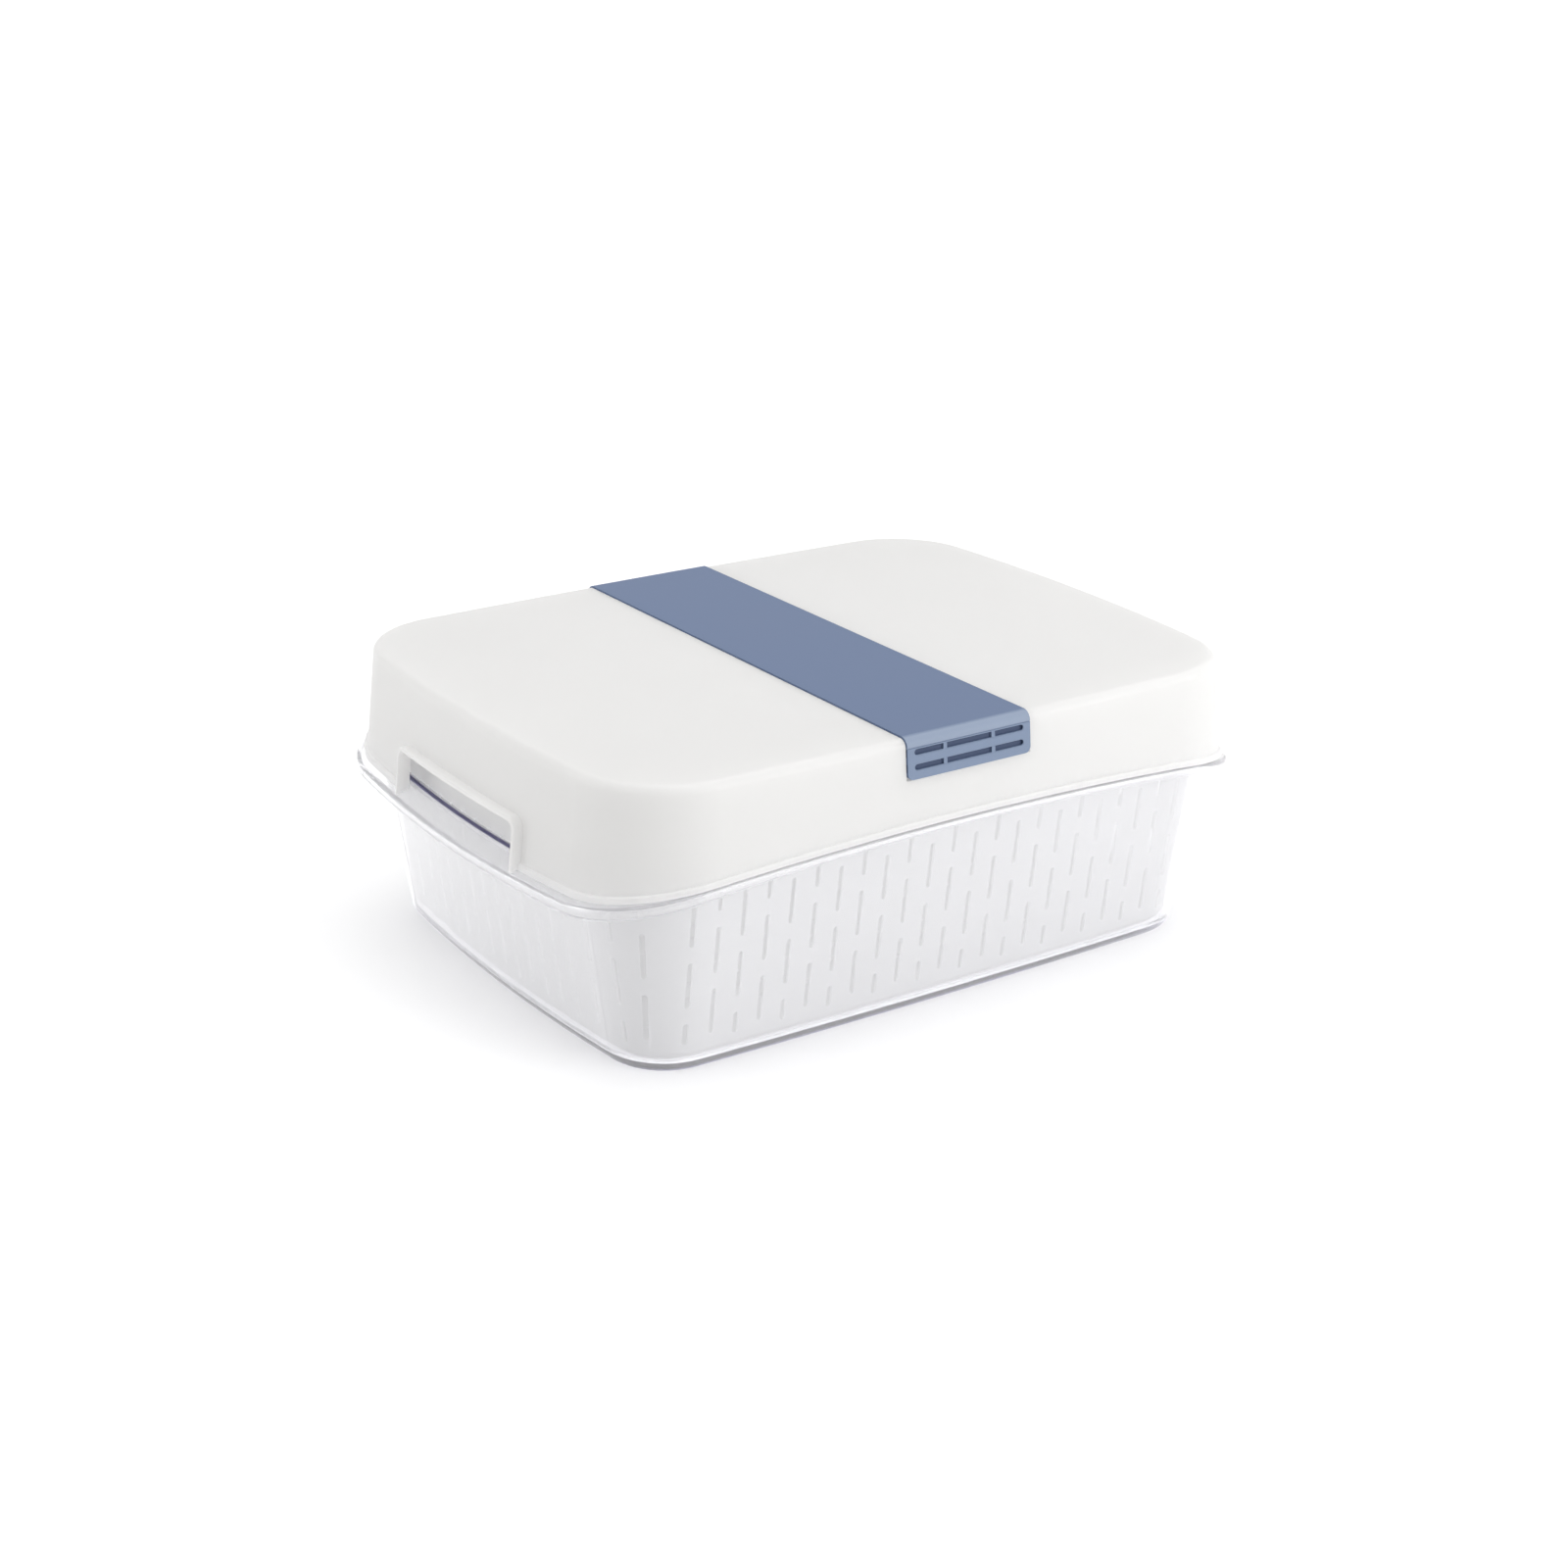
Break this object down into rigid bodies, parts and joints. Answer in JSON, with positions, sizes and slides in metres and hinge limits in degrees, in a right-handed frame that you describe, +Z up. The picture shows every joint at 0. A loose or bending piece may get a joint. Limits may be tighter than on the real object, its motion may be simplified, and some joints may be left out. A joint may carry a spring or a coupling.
{
  "type": "bread keeper",
  "caption": "Clear tub with a wavy rim, slotted lift-out basket and domed lid with a vent band, for keeping bread on a worktop.",
  "frame": {"origin": "middle of the footprint, on the table that the tub's foot ring stands on", "axes": "+X along the long side, -Y towards the vented front, +Z up"},
  "size_m": [0.3826, 0.2878, 0.1422],
  "materials": {
    "base_tub": "clear moulded plastic",
    "basket": "satin white plastic",
    "lid_shell": "satin white plastic",
    "vent_strip": "satin slate blue plastic"
  },
  "bodies": {
    "tub": {"base_tub": "base_tub"},
    "basket": {"basket": "basket"},
    "lid": {"lid_shell": "lid_shell", "vent_strip": "vent_strip"}
  },
  "joints": [
    {"name": "lid_lift", "type": "slide", "parent": "tub", "child": "lid", "axis": [0, 0, 1], "range_m": [0, 0.2]},
    {"name": "basket_lift", "type": "slide", "parent": "tub", "child": "basket", "axis": [0, 0, 1], "range_m": [0, 0.025]}
  ]
}
